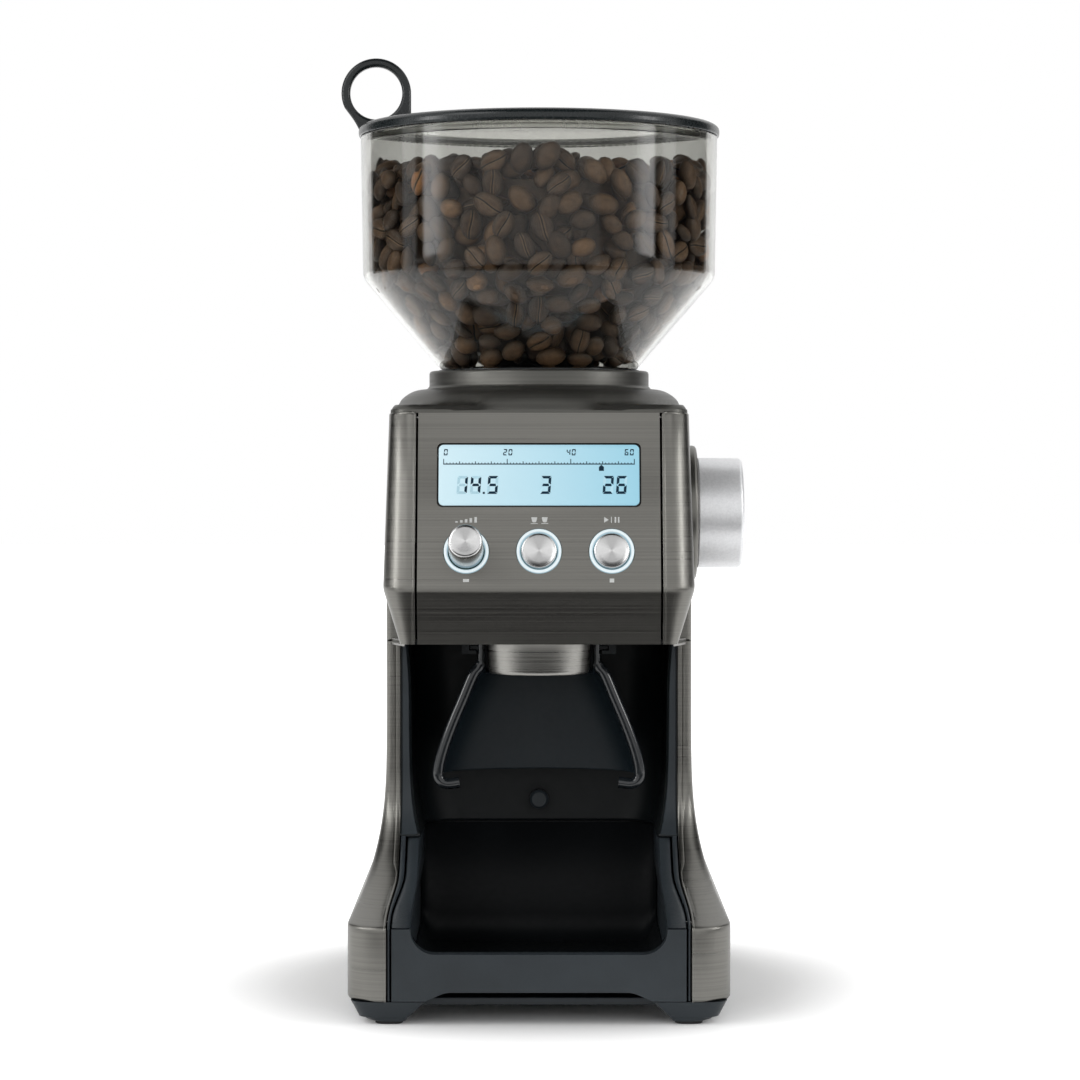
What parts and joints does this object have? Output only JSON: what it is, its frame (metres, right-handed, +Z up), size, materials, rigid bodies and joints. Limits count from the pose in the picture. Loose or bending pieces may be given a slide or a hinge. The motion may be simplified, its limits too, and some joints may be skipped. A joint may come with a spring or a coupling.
{
  "type": "burr coffee grinder",
  "caption": "Upright burr grinder with a round hopper over a tilted control head, a bay with a portafilter cradle and a pull-out tray.",
  "frame": {"origin": "on the surface that the feet rest on, straight under the vertical axis of the hopper and the burrs", "axes": "+Z up, -Y towards the user, +X towards the grind size dial"},
  "size_m": [0.1686, 0.211, 0.3892],
  "materials": {
    "brushed_gunmetal": "fine horizontal brushing, warm dark grey",
    "satin_grey_metal": "satin",
    "charcoal_plastic": "fine matte grain, blue-grey",
    "gloss_black_plastic": "glossy",
    "black_plastic": "satin",
    "rubber": "matte",
    "bright_steel": "machined",
    "burr_steel": "ground",
    "spun_steel": "spun in circles",
    "silver_aluminium": "satin, fine grain",
    "cast_alloy": "as cast",
    "copper_winding": "enamelled wire",
    "nylon": "moulded",
    "silicone": "translucent grey",
    "smoked_clear": "clear, tinted grey",
    "display_lens": "lit pale blue behind a clear window",
    "light_ring": "lit white",
    "circuit_board": "solder mask"
  },
  "bodies": {
    "housing": {"base_chassis": "charcoal_plastic", "rubber_feet": "rubber", "left_side_panel": "brushed_gunmetal", "right_side_panel": "brushed_gunmetal", "rear_cover": "charcoal_plastic", "top_cap": "satin_grey_metal", "front_fascia": "brushed_gunmetal", "head_floor": "gloss_black_plastic", "bay_liner": "gloss_black_plastic", "inner_frame": "bright_steel", "outlet_collar": "brushed_gunmetal", "display_lens": "display_lens", "display_module": "black_plastic", "control_board": "circuit_board", "button_switches": "black_plastic", "light_rings": "light_ring", "power_board": "circuit_board", "motor_can": "bright_steel", "motor_end_cap": "black_plastic", "motor_stator": "copper_winding", "gearbox_housing": "cast_alloy", "gearbox_cover": "cast_alloy", "grinding_chamber": "cast_alloy", "hopper_seat": "cast_alloy", "grounds_duct": "black_plastic", "dial_bezel": "brushed_gunmetal", "dial_bushing": "nylon", "activation_switch": "black_plastic", "hopper_switch": "black_plastic", "shaft_bearings": "bright_steel", "cord_gland": "rubber", "case_screws": "bright_steel"},
    "hopper": {"hopper_shell": "smoked_clear", "hopper_base_ring": "black_plastic"},
    "hopper_lock": {"gate_disc": "charcoal_plastic", "lock_dial": "charcoal_plastic"},
    "lid": {"lid_rim": "black_plastic", "lid_disc": "smoked_clear", "lid_gasket": "silicone"},
    "grind_dial": {"grind_size_dial": "silver_aluminium", "dial_shaft": "bright_steel", "dial_pinion": "bright_steel"},
    "adjuster": {"adjusting_ring": "nylon"},
    "upper_burr": {"burr_carrier": "black_plastic", "ring_burr": "burr_steel"},
    "upper_burr_handle": {"burr_handle": "bright_steel"},
    "burr_drive": {"burr_shaft": "bright_steel", "cone_burr": "burr_steel", "grounds_impeller": "nylon", "burr_gear": "nylon"},
    "idler": {"idler_gear": "nylon"},
    "motor_armature": {"motor_rotor": "bright_steel", "motor_pinion": "bright_steel"},
    "amount_stem": {"encoder_stem": "bright_steel"},
    "amount_dial": {"amount_knob": "spun_steel"},
    "cups_key": {"cups_button": "spun_steel"},
    "start_key": {"start_button": "spun_steel"},
    "cradle": {"portafilter_cradle": "gloss_black_plastic"},
    "tray": {"grounds_tray": "charcoal_plastic"},
    "plunger": {"activation_plunger": "charcoal_plastic"}
  },
  "joints": [
    {"name": "hopper_lift", "type": "slide", "parent": "housing", "child": "hopper", "axis": [0, 0, 1], "range_m": [0, 0.06]},
    {"name": "lid_lift", "type": "slide", "parent": "hopper", "child": "lid", "axis": [0, 0, 1], "range_m": [0, 0.06]},
    {"name": "hopper_lock_turn", "type": "hinge", "parent": "hopper", "child": "hopper_lock", "pos_m": [0, 0, 0.25], "axis": [0, 0, 1], "range_deg": [0, 90]},
    {"name": "grind_size_turn", "type": "hinge", "parent": "housing", "child": "grind_dial", "pos_m": [0.07, 0, 0.1986], "axis": [1, 0, 0], "range_deg": [-150, 150]},
    {"name": "adjuster_turn", "type": "hinge", "parent": "housing", "child": "adjuster", "pos_m": [0, 0, 0.188], "axis": [0, 0, 1], "range_deg": [-33, 33]},
    {"name": "upper_burr_lift", "type": "slide", "parent": "housing", "child": "upper_burr", "axis": [0, 0, 1], "range_m": [-0.00052, 0.00052]},
    {"name": "upper_burr_handle_lift", "type": "hinge", "parent": "upper_burr", "child": "upper_burr_handle", "pos_m": [0, 0, 0.2115], "axis": [1, 0, 0], "range_deg": [0, 88]},
    {"name": "motor_spin", "type": "hinge", "parent": "housing", "child": "motor_armature", "pos_m": [0, 0.058, 0.11], "axis": [0, 0, 1], "continuous": true},
    {"name": "idler_spin", "type": "hinge", "parent": "housing", "child": "idler", "pos_m": [0, 0.0385, 0.159], "axis": [0, 0, 1], "continuous": true},
    {"name": "burr_spin", "type": "hinge", "parent": "housing", "child": "burr_drive", "pos_m": [0, 0, 0.18], "axis": [0, 0, 1], "continuous": true},
    {"name": "amount_push", "type": "slide", "parent": "housing", "child": "amount_stem", "axis": [0, 0.969, -0.2471], "range_m": [0, 0.001], "stiffness_N_per_m": 600},
    {"name": "amount_turn", "type": "hinge", "parent": "amount_stem", "child": "amount_dial", "pos_m": [-0.029, -0.07207, 0.18481], "axis": [0, 0.969, -0.2471], "continuous": true},
    {"name": "cups_push", "type": "slide", "parent": "housing", "child": "cups_key", "axis": [0, 0.969, -0.2471], "range_m": [0, 0.001], "stiffness_N_per_m": 600},
    {"name": "start_push", "type": "slide", "parent": "housing", "child": "start_key", "axis": [0, 0.969, -0.2471], "range_m": [0, 0.001], "stiffness_N_per_m": 600},
    {"name": "cradle_slide", "type": "slide", "parent": "housing", "child": "cradle", "axis": [0, -1, 0], "range_m": [0, 0.045]},
    {"name": "tray_slide", "type": "slide", "parent": "housing", "child": "tray", "axis": [0, -1, 0], "range_m": [0, 0.11]},
    {"name": "activation_push", "type": "slide", "parent": "housing", "child": "plunger", "axis": [0, 1, 0], "range_m": [0, 0.004], "stiffness_N_per_m": 400}
  ],
  "couplings": [
    {"joint": "grind_size_turn", "follows": "upper_burr_lift", "rad_per_m": 5000},
    {"joint": "adjuster_turn", "follows": "upper_burr_lift", "rad_per_m": 1071.4},
    {"joint": "idler_spin", "follows": "motor_spin", "ratio": -0.56},
    {"joint": "burr_spin", "follows": "motor_spin", "ratio": 0.26923}
  ]
}
